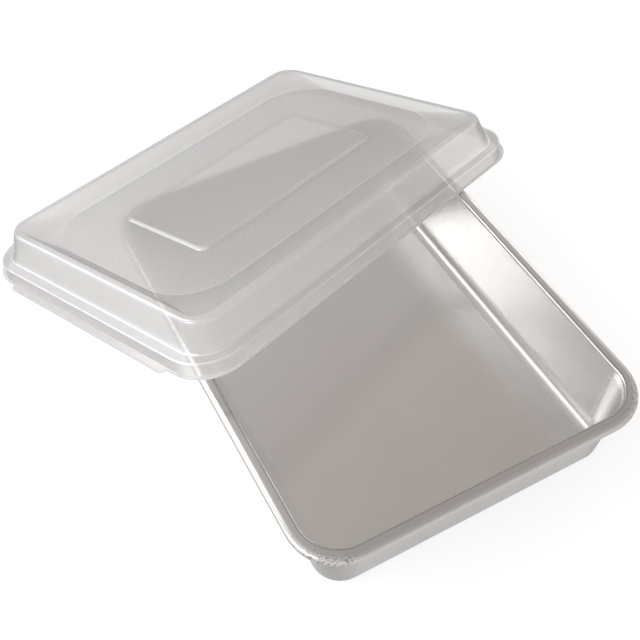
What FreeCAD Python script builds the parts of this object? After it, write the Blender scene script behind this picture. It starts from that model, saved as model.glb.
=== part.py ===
"""Covered cake pan: a drawn aluminium pan with a wired rim, and its moulded lid lying across it."""
import FreeCAD
import Part
import math
import os
import Sketcher

Vector = FreeCAD.Vector
Rotation = FreeCAD.Rotation

doc = FreeCAD.newDocument("covered_cake_pan")

# Driving sizes in millimetres and degrees
SIZES = (
    ("pan_width", 252.0),
    ("pan_length", 342.0),
    ("pan_height", 65.0),
    ("pan_corner", 35.9),
    ("metal", 1.2),
    ("rim_band", 9.4),
    ("rim_fall", 1.2),
    ("edge_round", 2.2),
    ("floor_round", 5.0),
    ("wall_draft", 7.4),
    ("wire_diameter", 4.0),
    ("wire_gap", 0.1),
    ("lid_wall", 1.0),
    ("lid_clear", 0.2),
    ("lid_corner_ease", 5.0),
    ("skirt_height", 11.0),
    ("skirt_draft", 0.5),
    ("shelf_width", 8.2),
    ("shelf_round", 1.2),
    ("fold_round", 1.4),
    ("crown_height", 21.5),
    ("crown_draft", 7.6),
    ("crown_corner", 17.8),
    ("crown_round", 3.0),
    ("lip_width", 1.4),
    ("lip_ease", 3.0),
    ("tab_reach", 4.5),
    ("tab_span", 180.0),
    ("tab_round", 4.0),
    ("well_margin", 5.0),
    ("well_depth", 4.5),
    ("well_run_x", 21.2),
    ("well_run_y", 8.2),
    ("well_corner", 42.2),
    ("plateau_width", 90.6),
    ("plateau_length", 185.4),
    ("plateau_corner", 8.0),
    ("plateau_rise", 2.6),
    ("plateau_draft", 0.8),
    ("plateau_round", 0.8),
    ("lid_turn", -68.27),
    ("lid_shift", -14.2),
    ("lid_back", 32.3),
    ("rest_gap", 0.1),
)

sheet = doc.addObject("Spreadsheet::Sheet", "Sizes")
for row, (name, size) in enumerate(SIZES, 1):
    sheet.set("A%d" % row, name)
    sheet.set("B%d" % row, str(size))
    sheet.setAlias("B%d" % row, name)
doc.recompute()


def value(formula):
    """The number that a formula of the sheet's sizes gives."""
    return float(sheet.evalExpression(formula))


def new_body(label):
    body = doc.addObject("PartDesign::Body", label)
    body.Label = label
    return body


def new_sketch(body, name, role, height="0"):
    """A sketch on one of the body's own planes, lifted by a formula."""
    plane = [item for item in body.Origin.OriginFeatures if item.Role == role][0]
    sketch = body.newObject("Sketcher::SketchObject", name)
    sketch.AttachmentSupport = [(plane, "")]
    sketch.MapMode = "FlatFace"
    if height != "0":
        sketch.setExpression("AttachmentOffset.Base.z", height)
    return sketch


def constrain(sketch, *terms):
    """A constraint of the sketch; a formula after its terms drives it."""
    if isinstance(terms[-1], str) and len(terms) > 2:
        index = sketch.addConstraint(Sketcher.Constraint(*terms[:-1], value(terms[-1])))
        sketch.setExpression("Constraints[%d]" % index, terms[-1])
    else:
        sketch.addConstraint(Sketcher.Constraint(*terms))


def add_arc(sketch, centre, radius, start, end):
    circle = Part.Circle(Vector(*centre, 0), Vector(0, 0, 1), radius)
    return sketch.addGeometry(Part.ArcOfCircle(circle, start, end), False)


def add_line(sketch, start, end):
    return sketch.addGeometry(Part.LineSegment(Vector(*start, 0), Vector(*end, 0)), False)


def add_rounded_rectangle(sketch, half_x, half_y, corner):
    """A closed rounded rectangle whose sides and corner radius follow formulas."""
    x, y, r = value(half_x), value(half_y), value(corner)
    first = sketch.GeometryCount
    centres = ((x - r, y - r), (r - x, y - r), (r - x, r - y), (x - r, r - y))
    starts = ((x, r - y), (x - r, y), (-x, y - r), (r - x, -y))
    ends = ((x, y - r), (r - x, y), (-x, r - y), (x - r, -y))
    for turn in range(4):
        quarter = turn * math.pi / 2
        add_line(sketch, starts[turn], ends[turn])
        add_arc(sketch, centres[turn], r, quarter, quarter + math.pi / 2)
    for turn in range(4):
        line = first + 2 * turn
        following = first + (2 * turn + 2) % 8
        constrain(sketch, "Tangent", line, 2, line + 1, 1)
        constrain(sketch, "Tangent", line + 1, 2, following, 1)
        constrain(sketch, "Horizontal" if turn % 2 else "Vertical", line)
    constrain(sketch, "DistanceX", -1, 1, first, 1, half_x)
    constrain(sketch, "DistanceY", -1, 1, first + 2, 1, half_y)
    constrain(sketch, "DistanceX", first + 4, 1, -1, 1, half_x)
    constrain(sketch, "DistanceY", first + 6, 1, -1, 1, half_y)
    constrain(sketch, "Radius", first + 1, corner)
    for turn in range(1, 4):
        constrain(sketch, "Equal", first + 1, first + 1 + 2 * turn)


def rectangle_at(body, name, height, outline):
    """A sketch that holds one rounded rectangle, given as half width, half length and corner."""
    sketch = new_sketch(body, name, "XY_Plane", height)
    add_rounded_rectangle(sketch, *outline)
    return sketch


def grown(outline, step):
    """The outline moved outwards by a formula, with concentric corners."""
    return tuple("%s + (%s)" % (term, step) for term in outline)


def loft(body, kind, name, sections):
    feature = body.newObject("PartDesign::" + kind, name)
    feature.Profile = sections[0]
    feature.Sections = sections[1:]
    feature.Ruled = True
    return feature


def loop(shape, height, outline):
    """Names of the edges at one height that follow the given outline."""
    half_x, half_y = value(outline[0]), value(outline[1])
    level = value(height)
    names = []
    for number, edge in enumerate(shape.Edges, 1):
        points = [vertex.Point for vertex in edge.Vertexes]
        flat = all(abs(point.z - level) < 1e-4 for point in points)
        on_side = all(min(abs(abs(point.x) - half_x), abs(abs(point.y) - half_y)) < 1e-3
                      for point in points)
        if flat and on_side:
            names.append("Edge%d" % number)
    return names


def round_loop(body, name, height, outline, radius):
    """Fillet the closed loop of edges at a height along an outline."""
    doc.recompute()
    base = body.Tip
    edges = loop(base.Shape, height, outline)
    fillet = body.newObject("PartDesign::Fillet", name)
    fillet.Base = (base, edges)
    fillet.setExpression("Radius", radius)
    doc.recompute()


# Pan: the foot is where the floor starts to curve up, the edge is the crest of the wall,
# and the bead is the rolled rim whose centre is the wire's centre
BEAD_ROUND = "(Sizes.wire_diameter / 2 + Sizes.wire_gap + Sizes.metal)"
FOOT_IN = "(Sizes.rim_band + Sizes.wall_draft + Sizes.floor_round)"
EDGE_IN = "(Sizes.rim_band - Sizes.edge_round)"
RIM = ("Sizes.pan_width / 2", "Sizes.pan_length / 2", "Sizes.pan_corner")
FOOT = grown(RIM, "-" + FOOT_IN)
BEAD = grown(RIM, "-" + BEAD_ROUND)
EDGE = grown(RIM, "-" + EDGE_IN)
FLOOR_CENTRE_UP = "Sizes.metal + Sizes.floor_round"
EDGE_CENTRE_UP = "Sizes.pan_height - Sizes.edge_round"
BEAD_CENTRE_UP = "Sizes.pan_height - Sizes.rim_fall - " + BEAD_ROUND


def add_rim_section(sketch):
    """Section of the bent sheet: floor bend, drafted wall, crest, falling flange and rolled bead."""
    foot = (value(FOOT[0]), value(FLOOR_CENTRE_UP))
    edge = (value(EDGE[0]), value(EDGE_CENTRE_UP))
    bead = (value(BEAD[0]), value(BEAD_CENTRE_UP))
    thick = value("Sizes.metal")
    foot_r, edge_r, bead_r = value("Sizes.floor_round"), value("Sizes.edge_round"), value(BEAD_ROUND)
    rise = math.hypot(edge[0] - foot[0], edge[1] - foot[1])
    lean = math.atan2(edge[1] - foot[1], edge[0] - foot[0]) - math.acos((foot_r + edge_r) / rise)
    span = math.hypot(bead[0] - edge[0], bead[1] - edge[1])
    tilt = math.atan2(bead[1] - edge[1], bead[0] - edge[0]) + math.acos((edge_r - bead_r) / span)

    def around(centre, radius, angle):
        return (centre[0] + radius * math.cos(angle), centre[1] + radius * math.sin(angle))

    for skin in (0, thick):
        low, high, roll = foot_r + skin, edge_r - skin, bead_r - skin
        add_arc(sketch, foot, low, -math.pi / 2, lean)
        add_line(sketch, around(foot, low, lean), around(edge, -high, lean))
        add_arc(sketch, edge, high, tilt, lean + math.pi)
        add_line(sketch, around(edge, high, tilt), around(bead, roll, tilt))
        add_arc(sketch, bead, roll, -math.pi, tilt)
    for skin in (0, 5):
        foot_arc, wall, edge_arc, flange, roll_arc = range(skin, skin + 5)
        constrain(sketch, "Tangent", foot_arc, 2, wall, 1)
        constrain(sketch, "Tangent", wall, 2, edge_arc, 2)
        constrain(sketch, "Tangent", edge_arc, 1, flange, 1)
        constrain(sketch, "Tangent", flange, 2, roll_arc, 2)
        constrain(sketch, "Vertical", foot_arc, 3, foot_arc, 1)
        constrain(sketch, "Horizontal", roll_arc, 3, roll_arc, 1)
    bends = ((0, "Sizes.floor_round", "+"), (2, "Sizes.edge_round", "-"), (4, BEAD_ROUND, "-"))
    for arc, radius, sign in bends:
        constrain(sketch, "Coincident", arc, 3, arc + 5, 3)
        constrain(sketch, "Radius", arc, radius + " + 0")
        constrain(sketch, "Radius", arc + 5, "%s %s Sizes.metal" % (radius, sign))
    places = ((0, FOOT[0], FLOOR_CENTRE_UP), (2, EDGE[0], EDGE_CENTRE_UP), (4, BEAD[0], BEAD_CENTRE_UP))
    for arc, across, up in places:
        constrain(sketch, "DistanceX", -1, 1, arc, 3, across)
        constrain(sketch, "DistanceY", -1, 1, arc, 3, up)
    ends = ((0, foot, foot_r, foot_r + thick, -math.pi / 2), (4, bead, bead_r, bead_r - thick, -math.pi))
    for arc, centre, near, far, angle in ends:
        line = add_line(sketch, around(centre, near, angle), around(centre, far, angle))
        constrain(sketch, "Coincident", arc, 1, line, 1)
        constrain(sketch, "Coincident", arc + 5, 1, line, 2)


def sweep(body, name, section, path):
    feature = body.newObject("PartDesign::AdditivePipe", name)
    feature.Profile = section
    feature.Spine = path
    return feature


def make_pan():
    """Flat floor plate, with the wall and rim swept once around its outline."""
    body = new_body("pan")
    outline = rectangle_at(body, "floor_outline", "0", FOOT)
    floor = body.newObject("PartDesign::Pad", "floor")
    floor.Profile = outline
    floor.setExpression("Length", "Sizes.metal")
    path = rectangle_at(body, "wall_path", "0", FOOT)
    section = new_sketch(body, "wall_section", "XZ_Plane")
    add_rim_section(section)
    sweep(body, "wall_and_rim", section, path)
    doc.recompute()
    return body


def make_rim_wire():
    """Round wire that the rim is rolled over."""
    body = new_body("rim_wire")
    path = rectangle_at(body, "wire_path", BEAD_CENTRE_UP, BEAD)
    section = new_sketch(body, "wire_section", "XZ_Plane")
    circle = Part.Circle(Vector(value(BEAD[0]), value(BEAD_CENTRE_UP), 0), Vector(0, 0, 1),
                         value("Sizes.wire_diameter / 2"))
    section.addGeometry(circle, False)
    constrain(section, "DistanceX", -1, 1, 0, 3, BEAD[0])
    constrain(section, "DistanceY", -1, 1, 0, 3, BEAD_CENTRE_UP)
    constrain(section, "Radius", 0, "Sizes.wire_diameter / 2")
    sweep(body, "wire", section, path)
    doc.recompute()
    return body


# Lid, in its own frame: bottom edge at height zero, long side along Y, like the pan's
SHELF = grown(RIM, "Sizes.lid_clear + Sizes.lid_wall")
SHELF = (SHELF[0], SHELF[1], SHELF[2] + " - Sizes.lid_corner_ease")
SKIRT = grown(SHELF, "Sizes.skirt_draft")
LIP = grown(SKIRT, "Sizes.lip_width")
LIP = (LIP[0], LIP[1], LIP[2] + " - Sizes.lip_ease")
FOLD = grown(SHELF, "-Sizes.shelf_width")
CROWN = grown(FOLD, "-Sizes.crown_draft")
CROWN = (CROWN[0], CROWN[1], "Sizes.crown_corner")
WELL_TOP = grown(CROWN, "-Sizes.well_margin")
WELL_FLOOR = (WELL_TOP[0] + " - Sizes.well_run_x", WELL_TOP[1] + " - Sizes.well_run_y", "Sizes.well_corner")
PLATEAU = ("Sizes.plateau_width / 2", "Sizes.plateau_length / 2", "Sizes.plateau_corner")
LID_TOP = "Sizes.skirt_height + Sizes.crown_height"
SHELF_UNDER = "Sizes.skirt_height - Sizes.lid_wall"
LID_UNDER = LID_TOP + " - Sizes.lid_wall"
WELL_LEVEL = LID_TOP + " - Sizes.well_depth"
WELL_UNDER = WELL_LEVEL + " - Sizes.lid_wall"


def make_lid():
    """Thin moulded shell: skirt, shelf, crown, a shallow well with a plateau, lip and finger tabs."""
    body = new_body("lid")

    def section(name, height, outline):
        return rectangle_at(body, name, height, outline)

    def inner(outline):
        return grown(outline, "-Sizes.lid_wall")

    loft(body, "AdditiveLoft", "skirt",
         [section("skirt_foot", "0", SKIRT), section("skirt_top", "Sizes.skirt_height", SHELF)])
    loft(body, "AdditiveLoft", "crown",
         [section("crown_foot", "Sizes.skirt_height", FOLD), section("crown_top", LID_TOP, CROWN)])
    round_loop(body, "crown_edge", LID_TOP, CROWN, "Sizes.crown_round")
    round_loop(body, "crown_fold", "Sizes.skirt_height", FOLD, "Sizes.fold_round")
    round_loop(body, "shelf_edge", "Sizes.skirt_height", SHELF, "Sizes.shelf_round")
    loft(body, "SubtractiveLoft", "skirt_hollow",
         [section("skirt_foot_in", "0", inner(SKIRT)), section("skirt_top_in", SHELF_UNDER, inner(SHELF))])
    loft(body, "SubtractiveLoft", "crown_hollow",
         [section("crown_foot_in", SHELF_UNDER, inner(FOLD)), section("crown_top_in", LID_UNDER, inner(CROWN))])
    round_loop(body, "crown_edge_in", LID_UNDER, inner(CROWN), "Sizes.crown_round - Sizes.lid_wall")
    round_loop(body, "crown_fold_in", SHELF_UNDER, inner(FOLD), "Sizes.fold_round + Sizes.lid_wall")

    # The well's underside is its top face moved down by the wall, so both slopes stay parallel
    share = " * Sizes.lid_wall / Sizes.well_depth"
    well_back = (WELL_TOP[0] + " + Sizes.well_run_x" + share, WELL_TOP[1] + " + Sizes.well_run_y" + share,
                 WELL_TOP[2])
    loft(body, "AdditiveLoft", "well_body",
         [section("well_body_top", LID_TOP, well_back), section("well_body_foot", WELL_UNDER, WELL_FLOOR)])
    loft(body, "SubtractiveLoft", "well",
         [section("well_rim", LID_TOP, WELL_TOP), section("well_foot", WELL_LEVEL, WELL_FLOOR)])
    plateau_top = grown(PLATEAU, "-Sizes.plateau_draft")
    loft(body, "AdditiveLoft", "plateau",
         [section("plateau_foot", WELL_LEVEL, PLATEAU),
          section("plateau_top", WELL_LEVEL + " + Sizes.plateau_rise", plateau_top)])
    round_loop(body, "plateau_edge", WELL_LEVEL + " + Sizes.plateau_rise", plateau_top, "Sizes.plateau_round")
    round_loop(body, "plateau_fold", WELL_LEVEL, PLATEAU, "Sizes.plateau_round")
    loft(body, "SubtractiveLoft", "plateau_hollow",
         [section("plateau_foot_in", WELL_UNDER, inner(PLATEAU)),
          section("plateau_top_in", WELL_UNDER + " + Sizes.plateau_rise", inner(plateau_top))])

    ring = section("lip_outline", "0", LIP)
    add_rounded_rectangle(ring, *inner(SKIRT))
    lip = body.newObject("PartDesign::Pad", "lip")
    lip.Profile = ring
    lip.setExpression("Length", "Sizes.lid_wall")
    for side, sign in (("left", -1), ("right", 1)):
        tab = new_sketch(body, "tab_outline_" + side, "XY_Plane")
        add_tab(tab, sign)
        pad = body.newObject("PartDesign::Pad", "tab_" + side)
        pad.Profile = tab
        pad.setExpression("Length", "Sizes.lid_wall")
    doc.recompute()
    return body


def add_tab(sketch, sign):
    """Flat finger tab along a short side, with rounded outer corners."""
    half = value("Sizes.tab_span / 2")
    root = value(SKIRT[1])
    reach = value(LIP[1] + " + Sizes.tab_reach")
    r = value("Sizes.tab_round")
    y0, y1, yc = sign * root, sign * reach, sign * (reach - r)
    add_line(sketch, (-half, y0), (half, y0))
    add_line(sketch, (half, y0), (half, yc))
    add_line(sketch, (half - r, y1), (r - half, y1))
    add_line(sketch, (-half, yc), (-half, y0))
    if sign > 0:
        add_arc(sketch, (half - r, yc), r, 0, math.pi / 2)
        add_arc(sketch, (r - half, yc), r, math.pi / 2, math.pi)
        near, far = 1, 2
    else:
        add_arc(sketch, (half - r, yc), r, -math.pi / 2, 0)
        add_arc(sketch, (r - half, yc), r, math.pi, 1.5 * math.pi)
        near, far = 2, 1
    constrain(sketch, "Coincident", 0, 2, 1, 1)
    constrain(sketch, "Coincident", 3, 2, 0, 1)
    constrain(sketch, "Tangent", 1, 2, 4, near)
    constrain(sketch, "Tangent", 4, far, 2, 1)
    constrain(sketch, "Tangent", 2, 2, 5, near)
    constrain(sketch, "Tangent", 5, far, 3, 1)
    constrain(sketch, "Horizontal", 0)
    constrain(sketch, "Horizontal", 2)
    constrain(sketch, "Vertical", 1)
    constrain(sketch, "Vertical", 3)
    constrain(sketch, "Equal", 4, 5)
    constrain(sketch, "Radius", 4, "Sizes.tab_round + 0")
    constrain(sketch, "DistanceX", -1, 1, 1, 1, "Sizes.tab_span / 2")
    constrain(sketch, "DistanceX", 3, 1, -1, 1, "Sizes.tab_span / 2")
    root_formula, reach_formula = SKIRT[1], LIP[1] + " + Sizes.tab_reach"
    if sign > 0:
        constrain(sketch, "DistanceY", -1, 1, 0, 1, root_formula)
        constrain(sketch, "DistanceY", -1, 1, 2, 1, reach_formula)
    else:
        constrain(sketch, "DistanceY", 0, 1, -1, 1, root_formula)
        constrain(sketch, "DistanceY", 2, 1, -1, 1, reach_formula)


def outline_points(outline, height):
    """Points along a rounded rectangle at one height, about a sheet's thickness apart."""
    x, y, r = (value(term) for term in outline)
    spacing = value("Sizes.metal")
    corners = ((x - r, y - r), (r - x, y - r), (r - x, r - y), (x - r, r - y))
    points = []
    for turn, (cx, cy) in enumerate(corners):
        steps = max(2, int(r * math.pi / 2 / spacing))
        for step in range(steps + 1):
            angle = (turn + step / steps) * math.pi / 2
            points.append(Vector(cx + r * math.cos(angle), cy + r * math.sin(angle), height))
    joined = []
    for start, end in zip(points, points[1:] + points[:1]):
        steps = max(1, int((end - start).Length / spacing))
        joined += [start + (end - start) * (step / steps) for step in range(steps)]
    return joined


# Search for the lid's place of rest: first guess, and how finely and how far it is followed
FIRST_HEIGHT = "Sizes.pan_height * 2 / 3"
FIRST_TILT, FIRST_ROLL = -13.0, -5.0
HEIGHT_STEP, ANGLE_STEP = 0.05, 0.02
CLOSE_ENOUGH = 1e-4
MOST_STEPS = 12
BY_CROSSING = "Sizes.skirt_height"


def lid_placement():
    """Where the lid comes to rest: on the right rim, under its well on the far corners and on the table."""
    crest_r = value("Sizes.edge_round")
    crest = outline_points(EDGE, value(EDGE_CENTRE_UP))
    corner_start = value("Sizes.pan_length / 2 - Sizes.pan_corner")
    right_crest = [point for point in crest if point.x > 0 and point.y < corner_start]
    far_crest = [point for point in crest if point.y > corner_start]
    skirt_edge = outline_points(grown(SKIRT, "-Sizes.lid_wall"), 0)
    near_edge = [point for point in skirt_edge if point.x > 0]
    far_edge = [point for point in outline_points(LIP, 0) if point.x < 0]
    well_under = value(WELL_UNDER)
    gap = value("Sizes.rest_gap")
    reach = value(BY_CROSSING)
    base = Vector(value("Sizes.lid_shift"), value("Sizes.pan_length / 2 - Sizes.lid_back"), 0)
    turn = Rotation(Vector(0, 0, 1), value("Sizes.lid_turn"))

    def placed(height, tilt, roll):
        rotation = turn * Rotation(Vector(0, 1, 0), tilt) * Rotation(Vector(1, 0, 0), roll)
        return FreeCAD.Placement(base + Vector(0, 0, height), rotation)

    def gaps(pose):
        placement = placed(*pose)
        edge = [placement.multVec(point) for point in near_edge]
        crossing = min(edge, key=lambda point: min(math.hypot(point.x - crest_point.x, point.y - crest_point.y)
                                                   for crest_point in right_crest))
        close = [point for point in edge if (point - crossing).Length < reach]
        beside = [point for point in right_crest if (point - crossing).Length < 2 * reach]
        on_rim = min(segment_gap(point, beside) for point in close) - crest_r
        inverse = placement.inverse()
        on_corner = well_under - max(inverse.multVec(point).z for point in far_crest) - crest_r
        on_table = min(placement.multVec(point).z for point in far_edge)
        above = crossing.z > value(EDGE_CENTRE_UP)
        return (on_rim - gap if above else -on_rim - gap - 2 * crest_r, on_corner - gap, on_table - gap)

    pose = [value(FIRST_HEIGHT), FIRST_TILT, FIRST_ROLL]
    for attempt in range(MOST_STEPS):
        found = gaps(pose)
        if max(abs(term) for term in found) < CLOSE_ENOUGH:
            break
        columns = []
        for index, step in enumerate((HEIGHT_STEP, ANGLE_STEP, ANGLE_STEP)):
            moved = list(pose)
            moved[index] += step
            columns.append([(after - before) / step for after, before in zip(gaps(moved), found)])
        matrix = FreeCAD.Matrix(columns[0][0], columns[1][0], columns[2][0], 0,
                                columns[0][1], columns[1][1], columns[2][1], 0,
                                columns[0][2], columns[1][2], columns[2][2], 0,
                                0, 0, 0, 1)
        change = matrix.inverse().multVec(Vector(*found))
        pose = [term - step for term, step in zip(pose, change)]
    return placed(*pose)


def segment_gap(point, line):
    """Shortest distance from a point to a run of points joined by straight pieces."""
    best = math.inf
    for start, end in zip(line, line[1:]):
        along = end - start
        share = min(1.0, max(0.0, (point - start).dot(along) / along.dot(along)))
        best = min(best, (point - start - along * share).Length)
    return best


pan = make_pan()
rim_wire = make_rim_wire()
lid = make_lid()
lid.Placement = lid_placement()
doc.recompute()

for item in doc.Objects:
    if "Invalid" in item.State or "Error" in item.State:
        raise RuntimeError("%s did not build" % item.Label)
os.makedirs("parts", exist_ok=True)
for body in (pan, rim_wire, lid):
    if body.Shape.isNull() or not body.Shape.isValid() or len(body.Shape.Solids) != 1:
        raise RuntimeError("%s is not one sound solid" % body.Label)
    body.Shape.exportStep("parts/%s.step" % body.Label)
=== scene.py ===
"""Studio scene for the cake pan with its lid laid across it.

Node materials go on the three CAD nodes, and round them come a floor, a pale room, six soft
panels of light and the photograph's camera. The object itself gets no shape of the scene's own.
"""
import math

import bpy
from mathutils import Matrix, Vector

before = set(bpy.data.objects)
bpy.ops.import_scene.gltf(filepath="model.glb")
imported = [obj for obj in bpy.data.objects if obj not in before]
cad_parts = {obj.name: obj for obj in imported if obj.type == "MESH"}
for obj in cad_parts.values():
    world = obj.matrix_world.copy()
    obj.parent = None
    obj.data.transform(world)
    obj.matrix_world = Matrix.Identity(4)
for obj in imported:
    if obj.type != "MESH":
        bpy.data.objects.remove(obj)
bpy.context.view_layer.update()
MM = 0.001
WHITE = (1, 1, 1, 1)

# The pan's outlines as rounded rectangles in millimetres: half width, half length, corner radius
FOOT = (104.2, 149.2, 14.1)
RIM = (126.0, 171.0, 35.9)

# The lid's outlines in the same way, round the lid's own centre
WELL = (85.2, 143.2, 42.2)
PLATEAU = (45.3, 92.7, 8.0)
CROWN = (110.5, 155.5, 16.9)
FOLD = (119.4, 164.4, 24.3)
SHELF = (126.8, 171.8, 31.7)

# Where the lid lies, as the CAD model places it
LID_PLACE = Vector((-14.2, 138.7, 43.811)) * MM
LID_TURN = tuple(math.radians(angle) for angle in (-5.3286, -13.5616, -68.27))

# Regions of the pan in metres: where a mask starts to rise and where it is full, inwards negative
CORNER_ACROSS = (0.085, 0.108)
CORNER_ALONG = (0.130, 0.153)
BEAD_FROM_RIM = (-0.0065, -0.0045)
BEAD_HEIGHT = (0.056, 0.060)
CREST_HEIGHT = (0.058, 0.060)
FLANGE_FROM_RIM = (-0.0032, -0.0046)
FLANGE_HEIGHT = (0.0625, 0.0632)
BEFORE_BEND = (-0.004, 0.0)
AFTER_BEND = (0.0, 0.0043)

# Share of the normal that points up: from where to where a face counts as flange, and as underside
FLANGE_UPRIGHT = (0.88, 0.94)
FACING_DOWN = -0.05

# The floor's bend in metres: its middle from the foot's outline, and how its dullness fades from there
BEND_FROM_FOOT = 0.001
BEND_REACH = (0.001, 0.006)

# Noise: the span that most of it fills, and where a crimp starts and is full
NOISE_MIDDLE = (0.3, 0.7)
CRIMP_NOISE = (0.51, 0.60)

# Painted shade lines on the pan's crest: distance from the rim, then half widths of the full line and
# its fade
CREST_SHADE_LINES = ((-0.0080, 0.0003, 0.0009), (-0.0117, 0.0003, 0.0008))

# The pan's colour by its tone, what grain does to that tone, and how much the crimps' painted shade
# takes from it
METAL_TONES = ((0.0, (0.30, 0.29, 0.28)), (0.3, (0.65, 0.64, 0.63)), (0.7, (0.68, 0.67, 0.66)))
GRAIN_SHARE = 0.4
CRIMP_PAINTED_SHADE = 0.60

# Painted shade: how much of that colour's lightness the flange, the squeezed corners and the crest lines
# keep
FLANGE_PAINTED_SHADE = 0.88
SQUEEZED_PAINTED_SHADE = 0.68
CREST_PAINTED_SHADE = 0.70

# Relief in the pan's metal in metres, and how strongly the flange's normal is pulled upwards
SWELL_RISE = 0.0005
CRIMP_DEPTH = 0.00005
FLANGE_LIFT = 4.0

# Roughness of the pan's metal, and what streaks, bending and squeezing add to it
METAL_ROUGHNESS = (0.22, 0.25)
STREAK_ROUGHNESS = (-0.01, 0.01)
DULL_BEND = 0.13
DULL_SQUEEZED = 0.28

# The wire inside the rolled rim
WIRE_COLOUR = (0.5, 0.5, 0.5, 1)
WIRE_ROUGHNESS = (0.3, 0.45)

# Heights on the lid over its own lower edge, in metres, between which one region turns into the next
LIP_HEIGHT = (0.0008, 0.0018)
LEDGE_HEIGHT = (0.0125, 0.0145)
WELL_HEIGHT = (0.020, 0.022)
TOP_HEIGHT = (0.028, 0.031)

# Painted highlights, white lines on the lid: half widths of the full line and its fade, in metres
WELL_HIGHLIGHT = (0.0003, 0.0013)
PLATEAU_HIGHLIGHT = (0.0003, 0.0011)
FOLD_HIGHLIGHT = (0.0003, 0.0010)

# How those painted highlights change across and along the lid: two places in metres, then the strengths
# there
WELL_HIGHLIGHT_ACROSS = (-0.08, 0.05, 0.55, 1.0)
PLATEAU_HIGHLIGHT_ALONG = (-0.092, -0.085, 1.4, 0.7)
FOLD_HIGHLIGHT_ALONG = (-0.165, -0.13, 1.0, 0.45)

# Fades of the stippled band at the well's outline and at the plateau's, in metres
BAND_AT_WELL = (0.0004, -0.0004)
BAND_AT_PLATEAU = (0.0, 0.001)

# Folds of the lid that get painted highlight lines: outline, and the heights in metres between which the
# fold lies
FOLDS = ((CROWN, 0.0304, 0.034), (FOLD, 0.0105, 0.0128), (SHELF, 0.0098, 0.0112))

# How milky the lid's sheet is, and what a low angle, the ledge, the stipple and the painted highlights
# change
TOP_HAZE = 0.54
WALL_HAZE = 0.52
GLANCING_HAZE = 0.15
LEDGE_CLEARING = 0.12
STIPPLE_MIDDLE = (0.25, 0.75)
SPECKLE_HAZE = (-0.03, 0.19)
HIGHLIGHT_HAZE = 0.85
HAZE_FOR_LIGHT = 0.09

# The clear sheet's colours from head on to a low angle, the milky sheet's from plain to the painted
# highlights
CLEAR_TINTS = ((0.35, (0.99, 0.99, 0.99)), (0.75, (0.75, 0.735, 0.725)))
MILK_AND_HIGHLIGHT_TINTS = ((0.0, (0.95, 0.95, 0.95)), (1.0, (0.98, 0.98, 0.98)))

# Painted light and shade on the milky sheet: darker below the lid's top, lighter on its ledge and darker
# at a low angle
WALL_PAINTED_SHADE = 0.93
LEDGE_PAINTED_LIGHT = 1.12
GLANCING = (0.35, 0.7)
GLANCING_PAINTED_SHADE = 0.54

# The lid's gloss, the relief of its stipple in metres, and the ripple's share of that relief
GLOSS = 0.045
GLANCING_GLOSS = 0.9
LINE_GLOSS = 0.12
STIPPLE_DEPTH = 0.0004
RIPPLE_SHARE = 0.35

# The room by direction: white near the horizon, then greyer upwards and to the right, in bands
ROOM_COLOURS = (
    (0.0, (1.0, 1.0, 1.0)), (0.2, (0.80, 0.79, 0.78)), (0.45, (0.68, 0.66, 0.64)),
    (0.7, (0.76, 0.73, 0.71)), (0.83, (0.56, 0.52, 0.495)), (1.0, (0.48, 0.445, 0.425)))
ROOM_MIDDLE = 0.33
ROOM_SLANT = 0.45

# The room is dimmed by a share high on its far left
DIM_LEFT = (-0.62, -0.40)
DIM_UP = (0.35, 0.6)
DIM_SHARE = 0.60

# Soft panels: name, place, the point it faces, width and height in metres, and watts
PANELS = (
    ("back_softbox", (-1.16, 1.18, 1.36), (0, 0, 0), (0.50, 0.9), 5.6),
    ("back_panel", (-0.70, 1.45, 1.60), (0, 0, 0), (0.60, 0.9), 3.4),
    ("front_fill", (0.56, -0.98, 1.13), (0, 0, 0.05), (1.4, 1.2), 5.0),
    ("low_left_panel", (-1.30, 0.85, 0.40), (0, 0, 0.05), (0.9, 0.5), 2.1),
    ("low_right_panel", (1.26, 0.95, 0.31), (0, 0, 0.05), (0.9, 0.3), 2.2),
    ("left_panel", (-1.25, -0.1, 0.8), (-0.1, 0.1, 0.08), (0.9, 0.8), 9.0))

# Panels that glossy surfaces don't mirror
NOT_MIRRORED = ("front_fill",)

# The floor: half its side in metres, its paint, and its glow for the camera and for mirrors
FLOOR_HALF = 3.0
FLOOR_PAINT = (0.35, 0.35, 0.35, 1)
FLOOR_GLOW = 0.70
FLOOR_GLOW_IN_MIRRORS = 0.6


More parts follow.
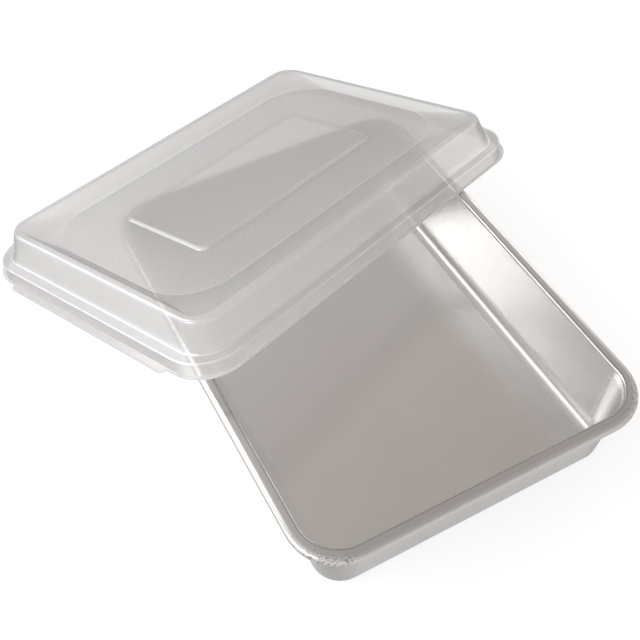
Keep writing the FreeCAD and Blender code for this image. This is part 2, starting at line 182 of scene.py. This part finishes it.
class Nodes:
    """Short names for building one node tree."""

    def __init__(self, tree):
        self.tree = tree
        self.tree.nodes.clear()

    def add(self, kind, inputs=None, **settings):
        """A new node with its settings, and with its named inputs joined or set."""
        node = self.tree.nodes.new(kind)
        for name, setting in settings.items():
            setattr(node, name, setting)
        for name, given in (inputs or {}).items():
            self.join(given, node.inputs[name])
        return node

    def join(self, given, socket):
        """Link an output to the socket, or set a plain value on it."""
        if hasattr(given, "is_output"):
            self.tree.links.new(given, socket)
        else:
            socket.default_value = given

    def join_all(self, node, terms):
        """Give the terms to the node's inputs in their order, and return its first output."""
        for index, term in enumerate(terms):
            self.join(term, node.inputs[index])
        return node.outputs[0]

    def math(self, operation, *terms, clamp=False):
        node = self.add("ShaderNodeMath", operation=operation, use_clamp=clamp)
        return self.join_all(node, terms)

    def vector_math(self, operation, *terms):
        return self.join_all(self.add("ShaderNodeVectorMath", operation=operation), terms)

    def product(self, first, *others):
        for other in others:
            first = self.math("MULTIPLY", first, other)
        return first

    def parts(self, vector):
        """The x, y and z of a vector."""
        return self.add("ShaderNodeSeparateXYZ", {"Vector": vector}).outputs

    def remap(self, given, low, high, to_low=0.0, to_high=1.0):
        """Stretch low..high to to_low..to_high, and hold the end values beyond."""
        return self.add("ShaderNodeMapRange", {
            "Value": given, "From Min": low, "From Max": high,
            "To Min": to_low, "To Max": to_high}).outputs[0]

    def blend(self, mask, outside, inside):
        """One value where the mask is 0, the other where it is 1."""
        return self.remap(mask, 0.0, 1.0, outside, inside)

    def line(self, distance, core, edge):
        """1 within core of the distance's zero, fading to 0 at edge."""
        return self.remap(self.math("ABSOLUTE", distance), core, edge, 1.0, 0.0)

    def noise(self, vector, scale, detail=2.0, roughness=0.5):
        return self.add("ShaderNodeTexNoise", {
            "Vector": vector, "Scale": scale, "Detail": detail, "Roughness": roughness}).outputs[0]

    def stretch(self, vector, scale):
        return self.add("ShaderNodeMapping", {"Vector": vector, "Scale": scale}).outputs[0]

    def ramp(self, given, stops):
        """Colours at places between 0 and 1, blended between them."""
        node = self.add("ShaderNodeValToRGB", {"Fac": given})
        elements = node.color_ramp.elements
        for index, (place, colour) in enumerate(stops):
            element = elements[index] if index < 2 else elements.new(place)
            element.position = place
            element.color = (*colour, 1)
        return node.outputs[0]

    def shaded(self, colour, share):
        """The colour with its lightness multiplied by the share."""
        return self.add("ShaderNodeHueSaturation", {"Color": colour, "Value": share}).outputs[0]

    def mix_shader(self, share, first, second):
        return self.join_all(self.add("ShaderNodeMixShader"), (share, first, second))

    def rounded_distance(self, x, y, size):
        """Distance outside a rounded rectangle given in millimetres, negative inside it."""
        half_x, half_y, corner = (term * MM for term in size)
        across = self.math("SUBTRACT", self.math("ABSOLUTE", x), half_x - corner)
        along = self.math("SUBTRACT", self.math("ABSOLUTE", y), half_y - corner)
        outside = self.math("SQRT", self.math(
            "ADD", self.math("POWER", self.math("MAXIMUM", across, 0.0), 2.0),
            self.math("POWER", self.math("MAXIMUM", along, 0.0), 2.0)))
        inside = self.math("MINIMUM", self.math("MAXIMUM", across, along), 0.0)
        return self.math("SUBTRACT", self.math("ADD", outside, inside), corner)


def new_material(name):
    """A new node material and the Nodes of its tree."""
    made = bpy.data.materials.new(name)
    made.use_nodes = True
    return made, Nodes(made.node_tree)


def pan_metal():
    """Satin rolled aluminium with its grain along the pan."""
    made, nodes = new_material("satin_aluminium")
    place = nodes.add("ShaderNodeTexCoord").outputs["Object"]
    normal = nodes.add("ShaderNodeNewGeometry").outputs["Normal"]
    upright = nodes.parts(normal)["Z"]
    x, y, height = nodes.parts(place)
    from_rim = nodes.rounded_distance(x, y, RIM)
    from_foot = nodes.rounded_distance(x, y, FOOT)
    grain = nodes.noise(nodes.stretch(place, (1.0, 0.03, 1.0)), scale=900.0, detail=3.0, roughness=0.6)
    streak = nodes.noise(nodes.stretch(place, (1.0, 0.02, 1.0)), scale=160.0)
    cloud = nodes.noise(place, scale=14.0, detail=3.0)

    # Small crimps that drawing leaves in the rolled rim at its corners, and the sheet under them
    at_corner = nodes.product(nodes.remap(nodes.math("ABSOLUTE", x), *CORNER_ACROSS),
                              nodes.remap(nodes.math("ABSOLUTE", y), *CORNER_ALONG))
    at_bead = nodes.product(nodes.remap(from_rim, *BEAD_FROM_RIM), nodes.remap(height, *BEAD_HEIGHT))
    crease = nodes.noise(nodes.stretch(place, (1.0, 1.0, 0.4)), scale=700.0, detail=4.0, roughness=0.65)
    crimp = nodes.product(nodes.remap(crease, *CRIMP_NOISE), nodes.product(at_corner, at_bead))
    under_rim = nodes.remap(height, *BEAD_HEIGHT, 1.0, 0.0)
    squeezed = nodes.product(at_corner, under_rim)

    # The flange between the bead and the crest
    flange = nodes.product(nodes.remap(from_rim, *FLANGE_FROM_RIM),
                           nodes.remap(upright, *FLANGE_UPRIGHT),
                           nodes.remap(height, *FLANGE_HEIGHT))

    # Painted shade: darker lines where the flange meets the crest and where the crest turns into the
    # wall
    crest = [nodes.line(nodes.math("SUBTRACT", from_rim, line_place), core, edge)
             for line_place, core, edge in CREST_SHADE_LINES]
    crest = nodes.product(nodes.math("MAXIMUM", *crest), nodes.remap(height, *CREST_HEIGHT))

    tone = nodes.math("ADD", nodes.product(grain, GRAIN_SHARE), nodes.product(cloud, 1.0 - GRAIN_SHARE))
    # Painted shade in the crimps takes from the tone
    colour = nodes.ramp(nodes.math("SUBTRACT", tone, nodes.product(crimp, CRIMP_PAINTED_SHADE)), METAL_TONES)
    # Painted shade on the flange, in the squeezed corners and along the crest lines
    painted_light_and_shade = nodes.product(nodes.blend(flange, 1.0, FLANGE_PAINTED_SHADE),
                              nodes.blend(squeezed, 1.0, SQUEEZED_PAINTED_SHADE),
                              nodes.blend(crest, 1.0, CREST_PAINTED_SHADE))
    colour = nodes.shaded(colour, painted_light_and_shade)

    # The real flange is almost level, so here the light meets it as if it were
    lift = nodes.add("ShaderNodeCombineXYZ", {"Z": nodes.product(flange, FLANGE_LIFT)}).outputs[0]
    levelled = nodes.vector_math("NORMALIZE", nodes.vector_math("ADD", normal, lift))

    # The drawn floor starts to rise a little before its bend, which makes the bend look softer
    before = nodes.math("POWER", nodes.remap(from_foot, *BEFORE_BEND), 2.0)
    after = nodes.remap(from_foot, *AFTER_BEND)
    after = nodes.math("SUBTRACT", after, nodes.product(nodes.math("POWER", after, 2.0), 0.5))
    swell = nodes.math("ADD", nodes.product(before, SWELL_RISE), nodes.product(after, SWELL_RISE))
    swell = nodes.product(swell, nodes.math("GREATER_THAN", upright, FACING_DOWN))
    relief = nodes.math("SUBTRACT", swell, nodes.product(crimp, CRIMP_DEPTH))
    bump = nodes.add("ShaderNodeBump", {
        "Height": relief, "Strength": 1.0, "Distance": 1.0, "Normal": levelled}).outputs[0]

    # Drawing leaves the sheet duller where it was bent or squeezed
    from_bend = nodes.math("ABSOLUTE", nodes.math("SUBTRACT", from_foot, BEND_FROM_FOOT))
    dull = nodes.product(nodes.remap(from_bend, *BEND_REACH, DULL_BEND, 0.0), under_rim)
    dull = nodes.math("MAXIMUM", dull, nodes.product(squeezed, DULL_SQUEEZED))
    rough = nodes.math("ADD", nodes.remap(cloud, *NOISE_MIDDLE, *METAL_ROUGHNESS),
                       nodes.remap(streak, *NOISE_MIDDLE, *STREAK_ROUGHNESS))
    rough = nodes.math("ADD", rough, dull)

    shader = nodes.add("ShaderNodeBsdfPrincipled", {
        "Base Color": colour, "Metallic": 1.0, "Roughness": rough, "Normal": bump}).outputs[0]
    nodes.add("ShaderNodeOutputMaterial", {"Surface": shader})
    return made


def wire_metal():
    """Drawn steel wire inside the rolled rim."""
    made, nodes = new_material("drawn_steel")
    grain = nodes.noise(nodes.add("ShaderNodeTexCoord").outputs["Object"], scale=900.0)
    shader = nodes.add("ShaderNodeBsdfPrincipled", {
        "Base Color": WIRE_COLOUR, "Metallic": 1.0,
        "Roughness": nodes.remap(grain, *NOISE_MIDDLE, *WIRE_ROUGHNESS)}).outputs[0]
    nodes.add("ShaderNodeOutputMaterial", {"Surface": shader})
    return made


def lid_plastic():
    """Frosted see-through plastic, with a fine stipple in the well round the plateau."""
    made, nodes = new_material("frosted_plastic")
    place = nodes.add("ShaderNodeTexCoord").outputs["Object"]
    local = nodes.add("ShaderNodeMapping",
                      {"Vector": place, "Location": LID_PLACE, "Rotation": LID_TURN},
                      vector_type="TEXTURE").outputs[0]
    x, y, z = nodes.parts(local)
    from_well = nodes.rounded_distance(x, y, WELL)
    from_plateau = nodes.rounded_distance(x, y, PLATEAU)
    at_well = nodes.remap(z, *WELL_HEIGHT)
    below_top = nodes.remap(z, *TOP_HEIGHT, 1.0, 0.0)
    ledge = nodes.remap(z, *LEDGE_HEIGHT, 1.0, 0.0)
    band = nodes.product(nodes.remap(from_well, *BAND_AT_WELL),
                         nodes.remap(from_plateau, *BAND_AT_PLATEAU), at_well)

    # Painted highlights: white lines along the folds, strongest on the sides that face the camera
    well_highlight = nodes.product(nodes.line(from_well, *WELL_HIGHLIGHT), nodes.remap(x, *WELL_HIGHLIGHT_ACROSS))
    plateau_highlight = nodes.product(nodes.line(from_plateau, *PLATEAU_HIGHLIGHT),
                                 nodes.remap(y, *PLATEAU_HIGHLIGHT_ALONG))
    painted_highlights = nodes.product(nodes.math("MAXIMUM", well_highlight, plateau_highlight), at_well)
    # A painted highlight along the lid's lower edge as well
    painted_highlights = nodes.math("MAXIMUM", painted_highlights, nodes.remap(z, *LIP_HEIGHT, 1.0, 0.0))
    for outline, bottom, top in FOLDS:
        from_fold = nodes.rounded_distance(x, y, outline)
        at_fold = nodes.product(nodes.math("GREATER_THAN", z, bottom), nodes.math("LESS_THAN", z, top))
        fold_highlight = nodes.product(nodes.line(from_fold, *FOLD_HIGHLIGHT), at_fold)
        fold_highlight = nodes.product(fold_highlight, nodes.remap(y, *FOLD_HIGHLIGHT_ALONG))
        painted_highlights = nodes.math("MAXIMUM", painted_highlights, fold_highlight)

    stipple = nodes.noise(local, scale=750.0, roughness=0.7)
    ripple = nodes.noise(local, scale=28.0)
    relief = nodes.math("ADD", nodes.product(stipple, band), nodes.product(ripple, RIPPLE_SHARE))
    bump = nodes.add("ShaderNodeBump", {
        "Height": relief, "Strength": 0.35, "Distance": STIPPLE_DEPTH}).outputs[0]

    # The haze counts in full for the camera and little for light that passes the sheet
    facing = nodes.add("ShaderNodeLayerWeight", {"Blend": 0.5}).outputs["Facing"]
    haze = nodes.math("ADD", nodes.blend(below_top, TOP_HAZE, WALL_HAZE),
                      nodes.product(nodes.math("POWER", facing, 3.0), GLANCING_HAZE))
    haze = nodes.math("SUBTRACT", haze, nodes.product(ledge, LEDGE_CLEARING))
    speckle = nodes.remap(stipple, *STIPPLE_MIDDLE, *SPECKLE_HAZE)
    haze = nodes.math("ADD", haze, nodes.product(band, speckle))
    # The painted highlights also make the sheet milkier
    haze = nodes.math("MAXIMUM", haze, nodes.product(painted_highlights, HIGHLIGHT_HAZE), clamp=True)
    seen = nodes.add("ShaderNodeLightPath").outputs["Is Camera Ray"]
    haze = nodes.product(haze, nodes.blend(seen, HAZE_FOR_LIGHT, 1.0))

    # Seen at a low angle the clear sheet is thicker to the eye and lets less light through; the milky
    # sheet gets painted shade below the top and at a low angle, and painted light on its ledge
    clear = nodes.add("ShaderNodeBsdfTransparent", {"Color": nodes.ramp(facing, CLEAR_TINTS)}).outputs[0]
    painted_light_and_shade = nodes.product(nodes.blend(below_top, 1.0, WALL_PAINTED_SHADE),
                              nodes.blend(ledge, 1.0, LEDGE_PAINTED_LIGHT),
                              nodes.remap(facing, *GLANCING, 1.0, GLANCING_PAINTED_SHADE))
    white = nodes.shaded(nodes.ramp(painted_highlights, MILK_AND_HIGHLIGHT_TINTS), painted_light_and_shade)
    lit = nodes.add("ShaderNodeBsdfDiffuse", {"Color": white, "Normal": bump}).outputs[0]
    through = nodes.add("ShaderNodeBsdfTranslucent", {"Color": white, "Normal": bump}).outputs[0]
    body = nodes.mix_shader(haze, clear, nodes.mix_shader(0.5, lit, through))

    # Gloss that grows at a low angle, with a little more along the folds
    gloss = nodes.add("ShaderNodeBsdfGlossy", {
        "Color": WHITE, "Roughness": 0.12, "Normal": bump}).outputs[0]
    mirror = nodes.math("ADD", GLOSS, nodes.product(nodes.math("POWER", facing, 5.0), GLANCING_GLOSS))
    mirror = nodes.math("ADD", mirror, nodes.product(painted_highlights, LINE_GLOSS), clamp=True)
    nodes.add("ShaderNodeOutputMaterial", {"Surface": nodes.mix_shader(mirror, body, gloss)})
    return made


def floor_paint():
    """Grey paint that a glow brings to white for the camera, and in part for mirrors."""
    made, nodes = new_material("studio_floor")
    path = nodes.add("ShaderNodeLightPath").outputs
    mirrored = nodes.math("MAXIMUM", path["Is Glossy Ray"], path["Is Transmission Ray"])
    seen = nodes.math("MAXIMUM", path["Is Camera Ray"], nodes.product(mirrored, FLOOR_GLOW_IN_MIRRORS))
    paint = nodes.add("ShaderNodeBsdfDiffuse", {"Color": FLOOR_PAINT}).outputs[0]
    glow = nodes.add("ShaderNodeEmission", {
        "Color": WHITE, "Strength": nodes.product(seen, FLOOR_GLOW)}).outputs[0]
    shader = nodes.join_all(nodes.add("ShaderNodeAddShader"), (paint, glow))
    nodes.add("ShaderNodeOutputMaterial", {"Surface": shader})
    return made


def set_material(node, made):
    """Show the whole CAD node in one material."""
    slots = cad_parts[node].material_slots
    if slots:
        for slot in slots:
            slot.material = made
    else:
        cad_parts[node].data.materials.append(made)


def add_floor():
    """The studio floor, at the height of the pan's underside."""
    half = FLOOR_HALF
    corners = [(-half, -half, 0), (half, -half, 0), (half, half, 0), (-half, half, 0)]
    mesh = bpy.data.meshes.new("studio_floor")
    mesh.from_pydata(corners, [], [(0, 1, 2, 3)])
    floor = bpy.data.objects.new("studio_floor", mesh)
    bpy.context.collection.objects.link(floor)
    floor.data.materials.append(floor_paint())


def add_world():
    """White to the camera's own rays, and to all others a pale room that is greyer overhead."""
    world = bpy.data.worlds.new("studio")
    world.use_nodes = True
    bpy.context.scene.world = world
    nodes = Nodes(world.node_tree)
    direction = nodes.parts(nodes.add("ShaderNodeTexCoord").outputs["Generated"])
    right, up = direction["X"], direction["Z"]
    # Greyer upwards and to the right, and dimmer high on the far left
    sideways = nodes.math("SUBTRACT", right, ROOM_MIDDLE)
    greying = nodes.math("ADD", up, nodes.product(sideways, ROOM_SLANT))
    dimmed = nodes.product(nodes.remap(right, *DIM_LEFT, DIM_SHARE, 0.0), nodes.remap(up, *DIM_UP))
    room = nodes.add("ShaderNodeBackground", {
        "Color": nodes.ramp(greying, ROOM_COLOURS), "Strength": nodes.math("SUBTRACT", 1.0, dimmed)})
    white = nodes.add("ShaderNodeBackground", {"Color": WHITE, "Strength": 1.0})
    seen = nodes.add("ShaderNodeLightPath").outputs["Is Camera Ray"]
    shader = nodes.mix_shader(seen, room.outputs[0], white.outputs[0])
    nodes.add("ShaderNodeOutputWorld", {"Surface": shader})


def add_panel(name, place, aim, size, watts):
    """A soft panel of light that the camera doesn't see."""
    data = bpy.data.lights.new(name, "AREA")
    data.shape = "RECTANGLE"
    data.size, data.size_y = size
    data.energy = watts
    panel = bpy.data.objects.new(name, data)
    panel.visible_camera = False
    panel.visible_glossy = name not in NOT_MIRRORED
    bpy.context.collection.objects.link(panel)
    panel.location = place
    panel.rotation_euler = (Vector(aim) - Vector(place)).to_track_quat("-Z", "Y").to_euler()


def add_camera(azimuth, elevation, roll, distance, aim, focal, pixels=640, sensor=36.0):
    """Camera turned by degrees round a point in millimetres, its focal length in pixels."""
    azimuth, elevation, roll = (math.radians(term) for term in (azimuth, elevation, roll))
    back = Vector((math.sin(azimuth) * math.cos(elevation),
                   -math.cos(azimuth) * math.cos(elevation), math.sin(elevation)))
    level = Vector((math.cos(azimuth), math.sin(azimuth), 0))
    upright = back.cross(level)
    right = math.cos(roll) * level + math.sin(roll) * upright
    up = math.cos(roll) * upright - math.sin(roll) * level
    data = bpy.data.cameras.new("camera")
    data.sensor_width = sensor
    data.lens = focal * sensor / pixels
    camera = bpy.data.objects.new("camera", data)
    bpy.context.collection.objects.link(camera)
    place = (Vector(aim) + back * distance) * MM
    turn = Matrix((right, up, back)).transposed().to_4x4()
    camera.matrix_world = Matrix.Translation(place) @ turn
    bpy.context.scene.camera = camera


set_material("pan", pan_metal())
set_material("rim_wire", wire_metal())
set_material("lid", lid_plastic())
add_floor()
add_world()
for panel in PANELS:
    add_panel(*panel)
add_camera(azimuth=-25.522, elevation=50.988, roll=-3.022, distance=718.742,
           aim=(-18.730, 26.045, 25.0), focal=966.407)

bpy.context.scene.view_settings.view_transform = "Standard"
